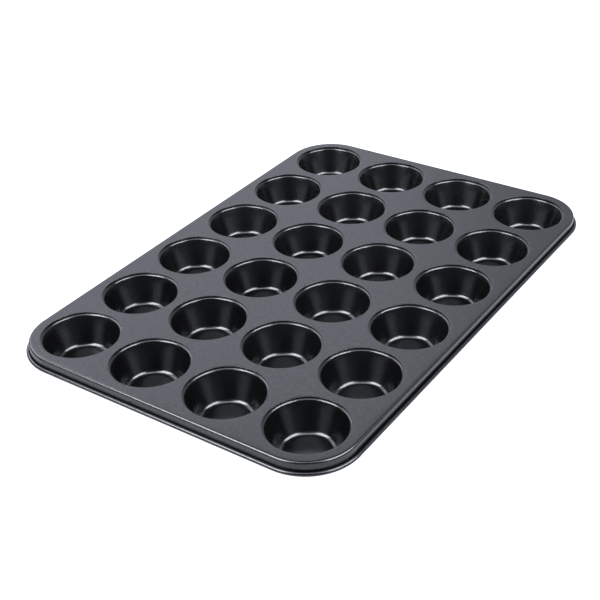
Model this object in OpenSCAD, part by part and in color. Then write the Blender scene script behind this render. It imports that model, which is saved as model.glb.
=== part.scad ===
// Muffin tin with separately drawn cups seated in a wired sheet-steel tray.
// Millimetres, +Z up. The origin is on the surface that the cups stand on,
// at the centre of the tray. X runs across the short side, Y along the long side.

/* [Cup grid] */
// Number of cups across the short side
cups_x = 4; // [2:1:6]
// Number of cups along the long side
cups_y = 6; // [2:1:8]
// Distance between neighbouring cup centres
cup_pitch = 84; // [80:1:100]

/* [Cups] */
// Depth of the inside of a cup, from the tray's top face to the cup's floor
cup_depth = 30; // [24:1:50]
// Thickness of the drawn cup's wall
cup_wall = 0.5; // [0.4:0.1:0.8]
// Radius of the flat part of the cup's floor
floor_r = 21; // [14:0.5:24]
// Inside radius between the cup's floor and its wall
floor_fillet_r = 5.5; // [2:0.5:8]
// Radius of the rounded lip that rolls from the cup's wall to its flange
lip_r = 2.7; // [1.2:0.1:3]

/* [Seats] */
// Radius of the round opening in the tray above each cup
seat_r = 37.3; // [34:0.1:37.8]
// Depth of the collar that turns down round the opening, below the tray's top face
seat_drop = 1.2; // [1.2:0.1:2]
// Outside radius of the bend where the tray's top face turns down into the collar
seat_bend_r = 0.3; // [0.2:0.1:0.5]

/* [Tray] */
// Thickness of the tray's sheet steel
sheet = 0.6; // [0.5:0.1:0.8]
// Distance from the outer cup centres to the outside face of the skirt
skirt_offset = 48; // [45:0.5:60]
// Corner radius of the skirt, in plan
skirt_corner_r = 48; // [30:1:54]
// Outside radius of the bend between the tray's top face and its skirt
skirt_bend_r = 2.3; // [1:0.1:3]
// Depth of the rim wire's centre below the tray's top face
rim_drop = 10.4; // [8:0.2:16]

/* [Rim] */
// Radius of the steel wire inside the rolled rim
wire_r = 1.4; // [1:0.1:2]
// Angle that the rolled rim's sheet turns through round the wire
curl_angle = 312; // [270:1:312]

/* [Skirt hole] */
// Diameter of the small hole through the skirt
skirt_hole_d = 2; // [1:0.1:3]
// Place of the small hole along the short side, from the tray's centre line
skirt_hole_x = -24.5; // [-60:0.5:60]
// Depth of the small hole's centre below the tray's top face
skirt_hole_drop = 6; // [5:0.1:7]

/* [Hidden] */
$fn = 96;
small_fn = 48;
tray_top = cup_wall + cup_depth;
seat_z = tray_top - seat_drop;

// Half sizes of the skirt's outside face, in plan
half_x = (cups_x - 1) * cup_pitch / 2 + skirt_offset;
half_y = (cups_y - 1) * cup_pitch / 2 + skirt_offset;

// The lip's arc starts just under the collar, so no gap shows between them
lip_cover = 0.3;
lip_centre = [seat_r + lip_cover, seat_z - lip_r];
fillet_centre = [floor_r, cup_wall + floor_fillet_r];

// The wall is the straight line that touches the floor fillet and the lip:
// wall_angle is its lean from the vertical, and wall_normal points out of the cup
centre_gap = lip_centre - fillet_centre;
wall_angle = acos((floor_fillet_r + lip_r) / norm(centre_gap)) - atan2(centre_gap[1], centre_gap[0]);
wall_normal = [cos(wall_angle), -sin(wall_angle)];
wall_foot = fillet_centre + floor_fillet_r * wall_normal;
wall_head = lip_centre - lip_r * wall_normal;

// The cup's hem turns up outside the collar, to the underside of the tray
hem_bend_r = 0.3;
hem_r = seat_r + sheet + hem_bend_r;

// Rolled rim: its sheet continues the skirt and wraps round the wire
curl_r = wire_r + sheet;
curl_start = 180;

column_letters = "abcdefgh";
function cup_name(column, row) = str("cup_", column_letters[column], row + 1);
function cup_place(column, row) = [
    (column - (cups_x - 1) / 2) * cup_pitch,
    (row - (cups_y - 1) / 2) * cup_pitch,
    0
];

// Part of a flat ring, from one angle to another, less than half a turn
module ring_sector(outer_r, inner_r, from_angle, to_angle) {
    mid_angle = (from_angle + to_angle) / 2;
    reach = 3 * outer_r;
    intersection() {
        difference() {
            circle(r = outer_r, $fn = small_fn);
            circle(r = inner_r, $fn = small_fn);
        }
        polygon([
            [0, 0],
            reach * [cos(from_angle), sin(from_angle)],
            reach * [cos(mid_angle), sin(mid_angle)],
            reach * [cos(to_angle), sin(to_angle)]
        ]);
    }
}

// Section of a cup's drawn sheet, from its axis out to the hem
module cup_section() {
    square([floor_r, cup_wall]);
    translate(fillet_centre)
        ring_sector(floor_fillet_r + cup_wall, floor_fillet_r, -90, -wall_angle);
    polygon([
        wall_foot,
        wall_foot + cup_wall * wall_normal,
        wall_head + cup_wall * wall_normal,
        wall_head
    ]);
    translate(lip_centre)
        ring_sector(lip_r, lip_r - cup_wall, 90, 180 - wall_angle);
    translate([lip_centre[0], seat_z - cup_wall])
        square([hem_r - hem_bend_r - lip_centre[0], cup_wall]);
    translate([hem_r - hem_bend_r, seat_z + hem_bend_r])
        ring_sector(hem_bend_r + cup_wall, hem_bend_r, -90, 0);
    translate([hem_r, seat_z + hem_bend_r])
        square([cup_wall, tray_top - sheet - seat_z - hem_bend_r]);
}

module cup() {
    color("#232427") rotate_extrude() cup_section();
}

// Section of the collar round a seat, with a tab that runs into the flat panel.
// The bend is tighter than the sheet is thick, so its inside corner is sharp.
module collar_section() {
    tab = 1;
    translate([seat_r, seat_z])
        square([sheet, seat_drop - seat_bend_r]);
    translate([seat_r + seat_bend_r, tray_top - seat_bend_r])
        intersection() {
            circle(r = seat_bend_r, $fn = small_fn);
            translate([-seat_bend_r, 0])
                square(seat_bend_r);
        }
    translate([seat_r + seat_bend_r, tray_top - sheet])
        square([tab, sheet]);
}

// Outline of a rectangle with round corners, centred on the origin
module round_rectangle(half_width, half_length, corner_r) {
    square([2 * half_width, 2 * (half_length - corner_r)], center = true);
    square([2 * (half_width - corner_r), 2 * half_length], center = true);
    for (side_x = [-1, 1]) for (side_y = [-1, 1])
        translate([side_x * (half_width - corner_r), side_y * (half_length - corner_r)])
            circle(r = corner_r);
}

// Carries a section round the tray. The section's x is the distance out from
// the centre of a corner's arc, and its y is the height.
module sweep_round_tray() {
    straight_x = half_x - skirt_corner_r;
    straight_y = half_y - skirt_corner_r;
    for (side = [0, 180]) {
        rotate([0, 0, side])
            translate([straight_x, 0, 0])
                rotate([90, 0, 0])
                    linear_extrude(height = 2 * straight_y, center = true) children();
        rotate([0, 0, side + 90])
            translate([straight_y, 0, 0])
                rotate([90, 0, 0])
                    linear_extrude(height = 2 * straight_x, center = true) children();
        rotate([0, 0, side])
            translate([straight_x, straight_y, 0])
                rotate_extrude(angle = 90) children();
        rotate([0, 0, side])
            translate([straight_x, -straight_y, 0])
                rotate([0, 0, -90])
                    rotate_extrude(angle = 90) children();
    }
}

// Section of the tray's edge: top bend, skirt and the sheet rolled round the wire
module edge_section() {
    tab = 1;
    bend_centre = [skirt_corner_r - skirt_bend_r, tray_top - skirt_bend_r];
    curl_centre = [skirt_corner_r - sheet + curl_r, tray_top - rim_drop];
    curl_step = curl_angle / 3;
    translate([bend_centre[0] - tab, tray_top - sheet])
        square([tab, sheet]);
    translate(bend_centre)
        ring_sector(skirt_bend_r, skirt_bend_r - sheet, 0, 90);
    translate([skirt_corner_r - sheet, curl_centre[1]])
        square([sheet, bend_centre[1] - curl_centre[1]]);
    for (step = [0 : 2])
        translate(curl_centre)
            ring_sector(curl_r, wire_r, curl_start + step * curl_step, curl_start + (step + 1) * curl_step);
}

module tray_panel() {
    color("#55585f")
        difference() {
            union() {
                translate([0, 0, tray_top - sheet])
                    linear_extrude(height = sheet)
                        difference() {
                            round_rectangle(
                                half_x - skirt_bend_r,
                                half_y - skirt_bend_r,
                                skirt_corner_r - skirt_bend_r
                            );
                            for (row = [0 : cups_y - 1]) for (column = [0 : cups_x - 1])
                                translate(cup_place(column, row))
                                    circle(r = seat_r + seat_bend_r);
                        }
                for (row = [0 : cups_y - 1]) for (column = [0 : cups_x - 1])
                    translate(cup_place(column, row))
                        rotate_extrude() collar_section();
                sweep_round_tray() edge_section();
            }
            translate([skirt_hole_x, -half_y, tray_top - skirt_hole_drop])
                rotate([90, 0, 0])
                    cylinder(d = skirt_hole_d, h = 6 * sheet, center = true, $fn = small_fn);
        }
}

module rim_wire() {
    color("silver")
        sweep_round_tray()
            translate([skirt_corner_r - sheet + curl_r, tray_top - rim_drop])
                circle(r = wire_r, $fn = small_fn);
}

tray_panel();
rim_wire();
for (row = [0 : cups_y - 1]) for (column = [0 : cups_x - 1])
    translate(cup_place(column, row)) cup();
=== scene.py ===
import math

import bmesh
import bpy
from mathutils import Matrix, Vector


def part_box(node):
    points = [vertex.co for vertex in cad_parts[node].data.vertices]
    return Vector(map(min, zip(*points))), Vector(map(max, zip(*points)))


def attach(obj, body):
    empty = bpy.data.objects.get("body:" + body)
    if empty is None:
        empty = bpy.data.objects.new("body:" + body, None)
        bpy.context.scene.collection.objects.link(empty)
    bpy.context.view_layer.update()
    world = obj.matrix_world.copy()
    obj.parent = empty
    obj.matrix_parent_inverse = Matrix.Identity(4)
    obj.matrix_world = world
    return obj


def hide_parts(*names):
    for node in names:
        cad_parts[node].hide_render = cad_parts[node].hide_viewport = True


# Looks of the muffin tin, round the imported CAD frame. Lengths are in metres, +Z is up,
# and the cups stand on z = 0.

MM = 0.001

# ---------------------------------------------------------------- the frame

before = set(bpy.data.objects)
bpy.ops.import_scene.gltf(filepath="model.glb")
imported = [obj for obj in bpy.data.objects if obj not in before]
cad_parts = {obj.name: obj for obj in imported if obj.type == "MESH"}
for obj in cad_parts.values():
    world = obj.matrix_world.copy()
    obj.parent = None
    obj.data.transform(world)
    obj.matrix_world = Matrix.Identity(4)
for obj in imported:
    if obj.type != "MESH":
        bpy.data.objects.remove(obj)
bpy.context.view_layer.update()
cup_nodes = sorted(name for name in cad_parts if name.startswith("cup_"))
tray_low, tray_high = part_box("tray_panel")
TOP = tray_high.z

# Sheet-metal sizes that the frame's boxes don't give
SHEET = 0.6 * MM
CUP_WALL = 0.5 * MM
FLOOR_R = 21.0 * MM
FLOOR_FILLET_R = 5.5 * MM
LIP_R = 2.7 * MM
LIP_COVER = 0.3 * MM
SEAT_R = 37.3 * MM
SEAT_DROP = 1.2 * MM
SEAT_BEND_R = 0.3 * MM
HEM_GAP = 0.9 * MM
HEM_BEND_R = 0.3 * MM
SKIRT_CORNER_R = 48.0 * MM
SKIRT_BEND_R = 2.3 * MM
RIM_DROP = 10.4 * MM
WIRE_R = 1.4 * MM
CURL_ANGLE = math.radians(312)
HOLE_R = 1.0 * MM
HOLE_X = -24.5 * MM
HOLE_DROP = 6.0 * MM
HOLE_ROW = 2.2 * MM  # half the height of the band of faces that the hole is cut in

CURL_R = WIRE_R + SHEET
CURL_OUT = CURL_R - SHEET  # from the skirt's face out to the curl's centre
SKIRT_X = tray_high.x - CURL_OUT - CURL_R
SKIRT_Y = tray_high.y - CURL_OUT - CURL_R
SEAT_Z = TOP - SEAT_DROP

SEGMENTS = 96  # round each cup and each seat; a multiple of 8
HOLE_SEGMENTS = 32
FLAT_RINGS = (0.0, 0.3, 0.6, 0.85)  # the flat sheet's rings, as shares from cell edge to seat
MERGE = 0.002 * MM   # points this close become one
ON_FACE = 0.01 * MM  # a point this close to the skirt's face is on it
TINY = 1e-6          # a share or a length, in metres, that counts as nothing
SHARP_ANGLE = math.radians(40)


def cup_centre(node):
    low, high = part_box(node)
    return (low + high) / 2


centres = {name: cup_centre(name) for name in cup_nodes}
column_xs = sorted({round(c.x, 5) for c in centres.values()})
row_ys = sorted({round(c.y, 5) for c in centres.values()})
PITCH = column_xs[1] - column_xs[0]


# ---------------------------------------------------------------- mesh helpers

def arc(centre, radius, start, end, steps):
    """Points on an arc from one angle to another, both ends included."""
    points = []
    for step in range(steps + 1):
        angle = start + (end - start) * step / steps
        points.append((centre[0] + radius * math.cos(angle), centre[1] + radius * math.sin(angle)))
    return points


def between(first, last, steps):
    """Points strictly between two points."""
    return [
        tuple(a + (b - a) * step / steps for a, b in zip(first, last))
        for step in range(1, steps)
    ]


def finish_mesh(name, bm):
    """Turns a bmesh into a smooth-shaded object whose sheet edges stay sharp."""
    bmesh.ops.remove_doubles(bm, verts=bm.verts, dist=MERGE)
    bmesh.ops.recalc_face_normals(bm, faces=bm.faces)
    mesh = bpy.data.meshes.new(name)
    bm.to_mesh(mesh)
    bm.free()
    mesh.shade_smooth()
    mesh.set_sharp_from_angle(angle=SHARP_ANGLE)
    piece = bpy.data.objects.new(name, mesh)
    bpy.context.scene.collection.objects.link(piece)
    return piece


def add_strips(bm, columns, closed):
    """Joins neighbouring columns of points with quads; a column is a list of 3D points."""
    rows = [[bm.verts.new(point) for point in column] for column in columns]
    count = len(rows) if closed else len(rows) - 1
    for i in range(count):
        here, there = rows[i], rows[(i + 1) % len(rows)]
        for k in range(len(here) - 1):
            corners = [here[k], here[k + 1], there[k + 1], there[k]]
            distinct = []
            for corner in corners:
                if all((corner.co - other.co).length > TINY / 10 for other in distinct):
                    distinct.append(corner)
            if len(distinct) > 2:
                bm.faces.new(distinct)


# ---------------------------------------------------------------- the cups

def cup_profile():
    """Section of the drawn sheet, as (radius, height), from the floor's centre inside the
    cup, up over the lip and hem, and back down outside to the floor's centre below."""
    lip_centre = Vector((SEAT_R + LIP_COVER, SEAT_Z - LIP_R))
    fillet_centre = Vector((FLOOR_R, CUP_WALL + FLOOR_FILLET_R))
    gap = lip_centre - fillet_centre
    lean = math.acos((FLOOR_FILLET_R + LIP_R) / gap.length) - math.atan2(gap.y, gap.x)
    hem_r = SEAT_R + HEM_GAP
    hem_centre = (hem_r - HEM_BEND_R, SEAT_Z + HEM_BEND_R)
    hem_top = TOP - SHEET
    half_pi = math.pi / 2

    inside = [(0.0, CUP_WALL)]
    inside += between((0.0, CUP_WALL), (FLOOR_R, CUP_WALL), 4)
    fillet = arc(fillet_centre, FLOOR_FILLET_R, -half_pi, -lean, 9)
    lip = arc(lip_centre, LIP_R, math.pi - lean, half_pi, 9)
    inside += fillet + between(fillet[-1], lip[0], 6) + lip
    inside += arc(hem_centre, HEM_BEND_R, -half_pi, 0, 3) + [(hem_r, hem_top)]

    outside = [(hem_r + CUP_WALL, hem_top)]
    outside += arc(hem_centre, HEM_BEND_R + CUP_WALL, 0, -half_pi, 4)
    lip_under = arc(lip_centre, LIP_R - CUP_WALL, half_pi, math.pi - lean, 6)
    fillet_under = arc(fillet_centre, FLOOR_FILLET_R + CUP_WALL, -lean, -half_pi, 9)
    outside += lip_under + between(lip_under[-1], fillet_under[0], 6) + fillet_under
    outside += between((FLOOR_R, 0.0), (0.0, 0.0), 4) + [(0.0, 0.0)]
    return inside + outside


def make_cup(node, profile):
    """One drawn cup, whose mesh is already in its place."""
    centre = centres[node]
    columns = []
    for i in range(SEGMENTS):
        angle = 2 * math.pi * i / SEGMENTS
        out = (math.cos(angle), math.sin(angle))
        columns.append([(centre.x + r * out[0], centre.y + r * out[1], z) for r, z in profile])
    bm = bmesh.new()
    add_strips(bm, columns, closed=True)
    return finish_mesh("drawn_" + node, bm)


# ---------------------------------------------------------------- the tray

def seat_profile():
    """Section of the collar round a seat, from the top face down and back to the underside.
    The bend is tighter than the sheet is thick, so its inside corner is sharp."""
    bend_centre = (SEAT_R + SEAT_BEND_R, TOP - SEAT_BEND_R)
    points = arc(bend_centre, SEAT_BEND_R, math.pi / 2, math.pi, 5)
    points += [(SEAT_R, SEAT_Z), (SEAT_R + SHEET, SEAT_Z), (SEAT_R + SHEET, TOP - SHEET)]
    return points


def edge_profile():
    """Section of the tray's edge, as (distance out from the skirt's face, height), from the
    top face over the bend, down the skirt, round the wire and back up inside. The sheet rolls
    outwards, so the skirt's outer face is the one that lies against the wire."""
    bend_centre = (-SKIRT_BEND_R, TOP - SKIRT_BEND_R)
    curl_centre = (CURL_OUT, TOP - RIM_DROP)
    half_pi = math.pi / 2
    rows = (TOP - HOLE_DROP + HOLE_ROW, TOP - HOLE_DROP - HOLE_ROW)
    points = arc(bend_centre, SKIRT_BEND_R, half_pi, 0, 10)
    points += [(0.0, row) for row in rows]
    points += arc(curl_centre, WIRE_R, math.pi, math.pi + CURL_ANGLE, 24)
    points += arc(curl_centre, CURL_R, math.pi + CURL_ANGLE, math.pi, 30)
    points += [(-SHEET, row) for row in reversed(rows)]
    points += arc(bend_centre, SKIRT_BEND_R - SHEET, 0, half_pi, 8)
    return points


def cell_edge(turn, extents):
    """Where a direction from a cup's centre, in quarter turns from +X, meets the edge of the
    cup's own cell of the tray, as (x, y, outward normal, or None where the next cell begins).
    extents gives the cell's reach to +X, +Y, -X and -Y."""
    sign_x = 1 if turn <= 1 or turn >= 3 else -1
    sign_y = 1 if turn <= 2 else -1
    reach_x = extents[0] if sign_x > 0 else extents[2]
    reach_y = extents[1] if sign_y > 0 else extents[3]
    from_x = turn if turn <= 1 else abs(turn - 2) if turn <= 3 else 4 - turn
    lean = from_x * math.pi / 2
    outer_x = reach_x > PITCH / 2 + MM
    outer_y = reach_y > PITCH / 2 + MM
    if outer_x and outer_y and TINY < from_x < 1 - TINY:
        radius = SKIRT_CORNER_R - SKIRT_BEND_R
        arc_x, arc_y = reach_x - radius, reach_y - radius
        first = math.asin(-arc_y / radius)
        last = math.pi / 2 - math.asin(-arc_x / radius)
        angle = first + (last - first) * from_x
        normal = (sign_x * math.cos(angle), sign_y * math.sin(angle))
        return sign_x * arc_x + radius * normal[0], sign_y * arc_y + radius * normal[1], normal
    if from_x <= 0.5 + TINY:
        y = reach_y * math.tan(lean)
        return sign_x * reach_x, sign_y * y, (sign_x, 0.0) if outer_x else None
    x = reach_x * math.tan(math.pi / 2 - lean)
    return sign_x * x, sign_y * reach_y, (0.0, sign_y) if outer_y else None


def add_cell(bm, centre, extents, seat, edge):
    """One cup's cell of the tray: flat sheet, the collar in its middle and any skirt beside it."""
    columns = []
    outer = []
    for step in range(SEGMENTS):
        turn = 4 * step / SEGMENTS
        out = (math.cos(turn * math.pi / 2), math.sin(turn * math.pi / 2))
        edge_x, edge_y, normal = cell_edge(turn, extents)
        hole_x, hole_y = seat[0][0] * out[0], seat[0][0] * out[1]
        flat = [
            (edge_x + (hole_x - edge_x) * share, edge_y + (hole_y - edge_y) * share)
            for share in FLAT_RINGS
        ]
        column = [(centre.x + x, centre.y + y, TOP) for x, y in flat]
        column += [(centre.x + r * out[0], centre.y + r * out[1], z) for r, z in seat]
        column += [(centre.x + x, centre.y + y, TOP - SHEET) for x, y in reversed(flat)]
        columns.append(column)
        outer.append((centre.x + edge_x, centre.y + edge_y, normal))
    add_strips(bm, columns, closed=True)
    for step in range(SEGMENTS):
        facing = cell_edge(4 * (step + 0.5) / SEGMENTS, extents)[2]
        if facing is None:
            continue
        pair = []
        for x, y, normal in (outer[step], outer[(step + 1) % SEGMENTS]):
            if normal is None or normal[0] * facing[0] + normal[1] * facing[1] < 0.5:
                normal = facing
            pair.append([
                (x + normal[0] * (out + SKIRT_BEND_R), y + normal[1] * (out + SKIRT_BEND_R), z)
                for out, z in edge
            ])
        add_strips(bm, pair, closed=False)


def cut_skirt_hole(bm):
    """Opens the small round hole through the skirt on the -Y side."""
    bm.faces.ensure_lookup_table()
    hole_z = TOP - HOLE_DROP
    clear_r = 1.4 * HOLE_R
    turns = [2 * math.pi * i / HOLE_SEGMENTS for i in range(HOLE_SEGMENTS)]
    rims = []
    for face_y in (-SKIRT_Y, -SKIRT_Y + SHEET):
        doomed = [
            face for face in bm.faces
            if all(abs(v.co.y - face_y) < ON_FACE for v in face.verts)
            and min(v.co.x for v in face.verts) < HOLE_X + clear_r
            and max(v.co.x for v in face.verts) > HOLE_X - clear_r
            and min(v.co.z for v in face.verts) < hole_z < max(v.co.z for v in face.verts)
        ]
        border = {}
        for face in doomed:
            for bm_edge in face.edges:
                border[bm_edge] = border.get(bm_edge, 0) + 1
        border = [bm_edge for bm_edge, uses in border.items() if uses == 1]
        bmesh.ops.delete(bm, geom=doomed, context="FACES")
        ring = [
            bm.verts.new((HOLE_X + HOLE_R * math.cos(a), face_y, hole_z + HOLE_R * math.sin(a)))
            for a in turns
        ]
        ring_edges = [
            bm.edges.new((ring[i], ring[(i + 1) % HOLE_SEGMENTS])) for i in range(HOLE_SEGMENTS)
        ]
        bmesh.ops.triangle_fill(bm, edges=border + ring_edges, use_beauty=True)
        for face in [f for f in bm.faces if all(v in ring for v in f.verts)]:
            bm.faces.remove(face)
        rims.append(ring)
    for i in range(HOLE_SEGMENTS):
        j = (i + 1) % HOLE_SEGMENTS
        bm.faces.new([rims[0][i], rims[0][j], rims[1][j], rims[1][i]])


def make_tray():
    """The pressed tray: flat top, 24 collars, skirt and rolled rim, in one sheet."""
    seat = seat_profile()
    edge = edge_profile()
    half = PITCH / 2
    edge_x = SKIRT_X - SKIRT_BEND_R
    edge_y = SKIRT_Y - SKIRT_BEND_R
    bm = bmesh.new()
    for x in column_xs:
        for y in row_ys:
            extents = (
                edge_x - x if x == column_xs[-1] else half,
                edge_y - y if y == row_ys[-1] else half,
                edge_x + x if x == column_xs[0] else half,
                edge_y + y if y == row_ys[0] else half,
            )
            add_cell(bm, Vector((x, y, 0)), extents, seat, edge)
    bmesh.ops.remove_doubles(bm, verts=bm.verts, dist=MERGE)
    cut_skirt_hole(bm)
    return finish_mesh("pressed_tray", bm)


# ---------------------------------------------------------------- materials

def new_material(name):
    material = bpy.data.materials.new(name)
    material.use_nodes = True
    tree = material.node_tree
    return material, tree, tree.nodes["Principled BSDF"]


def noise(tree, coordinates, wavelength, detail):
    """Noise with features of about the given size in metres; its output is 0 to 1."""
    node = tree.nodes.new("ShaderNodeTexNoise")
    node.inputs["Scale"].default_value = 1.0 / wavelength
    node.inputs["Detail"].default_value = detail
    tree.links.new(coordinates, node.inputs["Vector"])
    return node.outputs["Fac"]


def remap(tree, value, low, high, to_low, to_high):
    node = tree.nodes.new("ShaderNodeMapRange")
    node.inputs["From Min"].default_value = low
    node.inputs["From Max"].default_value = high
    node.inputs["To Min"].default_value = to_low
    node.inputs["To Max"].default_value = to_high
    tree.links.new(value, node.inputs["Value"])
    return node.outputs["Result"]


def combine(tree, operation, first, second):
    node = tree.nodes.new("ShaderNodeMath")
    node.operation = operation
    tree.links.new(first, node.inputs[0])
    tree.links.new(second, node.inputs[1])
    return node.outputs["Value"]


def blend_colours(tree, factor, first, second):
    node = tree.nodes.new("ShaderNodeMix")
    node.data_type = "RGBA"
    node.inputs["A"].default_value = (*first, 1)
    node.inputs["B"].default_value = (*second, 1)
    tree.links.new(factor, node.inputs["Factor"])
    return node.outputs["Result"]


def bump(tree, height, distance, normal=None):
    node = tree.nodes.new("ShaderNodeBump")
    node.inputs["Distance"].default_value = distance
    tree.links.new(height, node.inputs["Height"])
    if normal is not None:
        tree.links.new(normal, node.inputs["Normal"])
    return node.outputs["Normal"]


MIDDLE = (0.3, 0.7)        # the range that most of a noise's values are in
GRAIN = 0.35 * MM          # sizes of the coating's marks, finest first
PEEL = 1.6 * MM
SPECKLE = 2.4 * MM
CLOUD = 45 * MM
PEEL_DEPTH = 0.007 * MM
GRAIN_DEPTH = 0.003 * MM
COATING_ROUGHNESS = 0.21
SHEEN = (0.44, 0.48)       # the coating's specular level, between its dull and bright clouds
SPECKLE_SHEEN = (-0.06, 0.06)
PAINTED_SHADE_REACH = 5.0 * MM         # painted shade: how far ambient occlusion looks for the crevices in which the coating's sheen is dimmed
PAINTED_SHADE_AO = (0.25, 0.7)   # painted shade: from a closed crevice to an open face, by ambient occlusion,
PAINTED_SHADE_SHEEN = (0.1, 1.0)   # and the share of the sheen left at each
WIRE_MARKS = 0.5 * MM
WIRE_MARK_DEPTH = 0.01 * MM
WIRE_ROUGHNESS = (0.28, 0.42)

# Colours between which each material varies. The coatings' own are near black, because most
# of what is seen of them is reflected light.
TRAY_COLOURS = ((0.0008, 0.0009, 0.0011), (0.0016, 0.0018, 0.0022))
CUP_COLOURS = ((0.0005, 0.00055, 0.00065), (0.001, 0.0011, 0.0013))
WIRE_COLOURS = ((0.34, 0.34, 0.35), (0.55, 0.55, 0.56))
PAPER_COLOURS = ((0.07, 0.07, 0.07), (0.09, 0.09, 0.09))
PAPER_CLOUD = 0.4
PAPER_ROUGHNESS = 0.9
PAPER_SHEEN = 0.1


def coating(name, colours):
    """Satin non-stick coating on steel: fine grain, soft orange peel and faint rubbing. Its sheen
    is dimmed in narrow crevices by ambient occlusion, a painted shade."""
    material, tree, shader = new_material(name)
    place = tree.nodes.new("ShaderNodeTexCoord").outputs["Object"]
    grain = noise(tree, place, GRAIN, 1.0)
    peel = noise(tree, place, PEEL, 2.0)
    speckle = noise(tree, place, SPECKLE, 2.0)
    cloud = noise(tree, place, CLOUD, 3.0)
    tone = combine(
        tree,
        "ADD",
        remap(tree, cloud, *MIDDLE, 0.15, 0.6),
        remap(tree, grain, *MIDDLE, 0.0, 0.4),
    )
    colour = blend_colours(tree, tone, *colours)
    rough = combine(
        tree,
        "ADD",
        remap(tree, cloud, *MIDDLE, COATING_ROUGHNESS - 0.02, COATING_ROUGHNESS + 0.03),
        remap(tree, grain, *MIDDLE, -0.03, 0.03),
    )
    normal = bump(tree, peel, PEEL_DEPTH)
    normal = bump(tree, grain, GRAIN_DEPTH, normal=normal)
    tree.links.new(colour, shader.inputs["Base Color"])
    tree.links.new(rough, shader.inputs["Roughness"])
    # painted shade: ambient occlusion dims the coating's sheen in narrow crevices and gaps
    crevice_shade = tree.nodes.new("ShaderNodeAmbientOcclusion")
    crevice_shade.inputs["Distance"].default_value = PAINTED_SHADE_REACH
    crevice_shade.only_local = True
    unshaded_share = remap(tree, crevice_shade.outputs["AO"], *PAINTED_SHADE_AO, *PAINTED_SHADE_SHEEN)
    sheen = combine(
        tree,
        "ADD",
        remap(tree, cloud, *MIDDLE, *SHEEN),
        remap(tree, speckle, 0.35, 0.65, *SPECKLE_SHEEN),
    )
    sheen = combine(tree, "MULTIPLY", sheen, unshaded_share)
    tree.links.new(sheen, shader.inputs["Specular IOR Level"])
    tree.links.new(normal, shader.inputs["Normal"])
    return material


def steel(name):
    """Plain drawn wire: grey steel with fine marks."""
    material, tree, shader = new_material(name)
    place = tree.nodes.new("ShaderNodeTexCoord").outputs["Object"]
    marks = noise(tree, place, WIRE_MARKS, 3.0)
    shader.inputs["Metallic"].default_value = 1.0
    colour = blend_colours(tree, marks, *WIRE_COLOURS)
    tree.links.new(colour, shader.inputs["Base Color"])
    tree.links.new(remap(tree, marks, *MIDDLE, *WIRE_ROUGHNESS), shader.inputs["Roughness"])
    tree.links.new(bump(tree, marks, WIRE_MARK_DEPTH), shader.inputs["Normal"])
    return material


def floor_material():
    """Studio paper that is pale by its own glow; the glow fades out beneath the tray as a painted
    shadow.
    """
    material, tree, shader = new_material("pale_floor")
    place = tree.nodes.new("ShaderNodeTexCoord").outputs["Object"]
    cloud = noise(tree, place, PAPER_CLOUD, 2.0)
    colour = blend_colours(tree, cloud, *PAPER_COLOURS)
    tree.links.new(colour, shader.inputs["Base Color"])
    shader.inputs["Roughness"].default_value = PAPER_ROUGHNESS
    shader.inputs["Specular IOR Level"].default_value = PAPER_SHEEN
    shader.inputs["Emission Color"].default_value = DAYLIGHT
    corner_r = SKIRT_CORNER_R + tray_high.x - SKIRT_X
    steps = (
        ("ABSOLUTE", None),
        ("SUBTRACT", (tray_high.x - corner_r, tray_high.y - corner_r, 0)),
        ("MAXIMUM", (0, 0, 0)),
    )
    for operation, value in steps:
        node = tree.nodes.new("ShaderNodeVectorMath")
        node.operation = operation
        tree.links.new(place, node.inputs[0])
        if value is not None:
            node.inputs[1].default_value = value
        place = node.outputs["Vector"]
    span = tree.nodes.new("ShaderNodeVectorMath")
    span.operation = "LENGTH"
    tree.links.new(place, span.inputs[0])
    # painted shadow: the floor's glow fades out beneath the tray
    in_from_edge = [corner_r - inset for inset in PAINTED_SHADOW_INSET]
    glow = remap(tree, span.outputs["Value"], *in_from_edge, 0, FLOOR_GLOW)
    tree.links.new(glow, shader.inputs["Emission Strength"])
    return material


# ---------------------------------------------------------------- stage

DAYLIGHT = (0.94, 0.97, 1.06, 1)  # the cool white of the four lights and the paper's glow
FLOOR_SPAN = 12.0     # radius of the studio floor
FLOOR_SEGMENTS = 64
FLOOR_GLOW = 1.25
PAINTED_SHADOW_INSET = (25.5 * MM, 21.5 * MM)  # painted shadow beneath the tray: the floor's glow is off, and full, this far in from the edge
BACKDROP = 2.4        # brightness of the pale backdrop that the tray reflects
BACKDROP_COLOUR = (0.93, 0.97, 1.1, 1)
BACKDROP_TURN = math.radians(214)
BACKDROP_LEAST = 0.5  # share of its brightness left at the horizon and at its right side
# Sines of the angles between which the backdrop goes from its least to its full brightness
BACKDROP_TOP = (0.77, 0.64)       # height, from dark overhead
BACKDROP_LOW = (0.38, 0.60)       # height, from dimmer at the horizon
BACKDROP_RIGHT = (-0.18, -0.02)   # to the left, from dimmer at its right side
BACKDROP_LEFT = (0.80, 0.60)      # to the left, from dark at its left side
BACKDROP_NEAR = (0.0, 0.25)       # away from the camera's side, from dark beside the tray
STUDIO = 0.1          # brightness of the dark rest of the studio
BACKGROUND_SEEN = 1.0  # brightness of the plain background that the camera sees
CAMERA_TURN = math.radians(34.45)
CAMERA_RISE = math.radians(31.15)
CAMERA_DISTANCE = 1.161
CAMERA_ROLL = math.radians(-2.55)
CAMERA_AIM = (14.8 * MM, -57.1 * MM)
CAMERA_LENS = 70.1
CAMERA_SENSOR = 36.0
CAMERA_CLIP = (0.05, 30.0)
LIGHT_DISTANCE = 1.7
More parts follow.
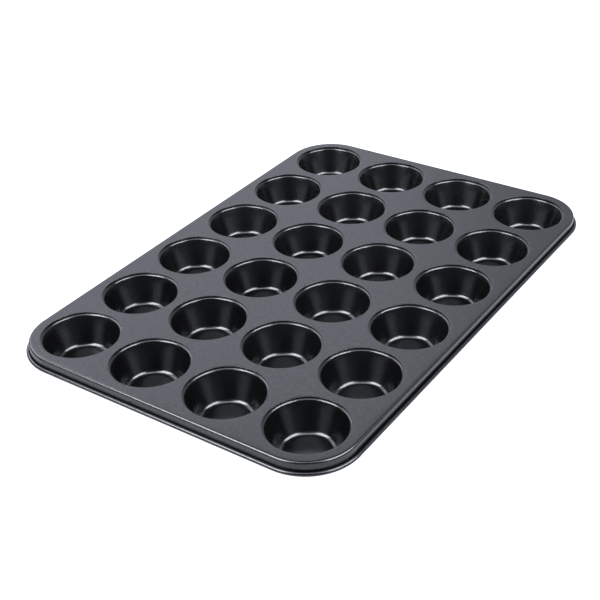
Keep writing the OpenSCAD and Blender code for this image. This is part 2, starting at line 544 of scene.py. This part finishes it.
# Each soft light's name, turn, rise, spread and glow, as make_softbox takes them
SOFTBOXES = (
    ("softbox_left", -25, 43, (34, 32), 21.0),
    ("softbox_side", -84, 40, (44, 30), 4.0),
    ("softbox_right", 96, 44, (46, 30), 18.0),
    ("softbox_top", 34, 70, (60, 24), 5.5),
)


def direction(turn, rise):
    """Unit vector towards a place at this turn from -Y towards +X, and this rise."""
    return Vector((
        math.sin(turn) * math.cos(rise), -math.cos(turn) * math.cos(rise), math.sin(rise)
    ))


def make_camera():
    data = bpy.data.cameras.new("camera")
    data.lens = CAMERA_LENS
    data.sensor_width = CAMERA_SENSOR
    data.clip_start, data.clip_end = CAMERA_CLIP
    camera = bpy.data.objects.new("camera", data)
    bpy.context.scene.collection.objects.link(camera)
    place = Vector((0, 0, TOP)) + direction(CAMERA_TURN, CAMERA_RISE) * CAMERA_DISTANCE
    aim = Vector((*CAMERA_AIM, TOP))
    look = (aim - place).normalized()
    turn = look.to_track_quat("-Z", "Y") @ Matrix.Rotation(CAMERA_ROLL, 3, "Z").to_quaternion()
    camera.rotation_mode = "QUATERNION"
    camera.rotation_quaternion = turn
    camera.location = place
    bpy.context.scene.camera = camera


def make_softbox(name, turn, rise, spread, glow):
    """A soft rectangular light that looks at the tray's middle. turn, rise and spread (its
    width and height as seen from there) are in degrees, and glow is its face's brightness."""
    width, height = (2 * LIGHT_DISTANCE * math.tan(math.radians(angle) / 2) for angle in spread)
    data = bpy.data.lights.new(name, "AREA")
    data.shape = "RECTANGLE"
    data.size, data.size_y = width, height
    data.energy = glow * math.pi * width * height
    data.color = DAYLIGHT[:3]
    light = bpy.data.objects.new(name, data)
    bpy.context.scene.collection.objects.link(light)
    out = direction(math.radians(turn), math.radians(rise))
    light.location = Vector((0, 0, TOP)) + out * LIGHT_DISTANCE
    light.rotation_mode = "QUATERNION"
    light.rotation_quaternion = (-out).to_track_quat("-Z", "Y")


def make_world():
    """What the tray reflects: a pale backdrop on the side away from the camera and a dark
    studio elsewhere. The camera itself sees a plain pale background in their place."""
    world = bpy.data.worlds.new("studio")
    world.use_nodes = True
    tree = world.node_tree
    place = tree.nodes.new("ShaderNodeTexCoord").outputs["Generated"]
    up = Vector((0, 0, 1))
    away = direction(BACKDROP_TURN, 0)
    left = direction(BACKDROP_TURN + math.pi / 2, 0)
    shape = None
    for axis, limits, least in (
        (up, BACKDROP_TOP, 0),
        (up, BACKDROP_LOW, BACKDROP_LEAST),
        (left, BACKDROP_RIGHT, BACKDROP_LEAST),
        (left, BACKDROP_LEFT, 0),
        (away, BACKDROP_NEAR, 0),
    ):
        along = tree.nodes.new("ShaderNodeVectorMath")
        along.operation = "DOT_PRODUCT"
        along.inputs[1].default_value = axis
        tree.links.new(place, along.inputs[0])
        fade = remap(tree, along.outputs["Value"], *limits, least, 1)
        shape = fade if shape is None else combine(tree, "MULTIPLY", shape, fade)
    glow = remap(tree, shape, 0, 1, STUDIO, BACKDROP)
    camera_ray = tree.nodes.new("ShaderNodeLightPath").outputs["Is Camera Ray"]
    seen = tree.nodes.new("ShaderNodeMix")
    seen.data_type = "FLOAT"
    seen.inputs["B"].default_value = BACKGROUND_SEEN
    tree.links.new(camera_ray, seen.inputs["Factor"])
    tree.links.new(glow, seen.inputs["A"])
    tree.links.new(seen.outputs["Result"], tree.nodes["Background"].inputs["Strength"])
    tree.nodes["Background"].inputs["Color"].default_value = BACKDROP_COLOUR
    bpy.context.scene.world = world


def make_floor():
    bm = bmesh.new()
    bmesh.ops.create_circle(bm, cap_ends=True, radius=FLOOR_SPAN, segments=FLOOR_SEGMENTS)
    mesh = bpy.data.meshes.new("floor")
    bm.to_mesh(mesh)
    bm.free()
    floor = bpy.data.objects.new("floor", mesh)
    bpy.context.scene.collection.objects.link(floor)
    mesh.materials.append(floor_material())


# ---------------------------------------------------------------- build

make_camera()
make_world()
make_floor()
for softbox in SOFTBOXES:
    make_softbox(*softbox)
bpy.context.scene.view_settings.view_transform = "Standard"

tray_coating = coating("tray_coating", TRAY_COLOURS)
cup_coating = coating("cup_coating", CUP_COLOURS)
wire_steel = steel("wire_steel")

tray = make_tray()
tray.data.materials.append(tray_coating)
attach(tray, "root")
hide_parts("tray_panel")

profile = cup_profile()
for node in cup_nodes:
    cup = make_cup(node, profile)
    cup.data.materials.append(cup_coating)
    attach(cup, "root")
    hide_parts(node)

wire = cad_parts["rim_wire"]
wire.data.materials.clear()
wire.data.materials.append(wire_steel)
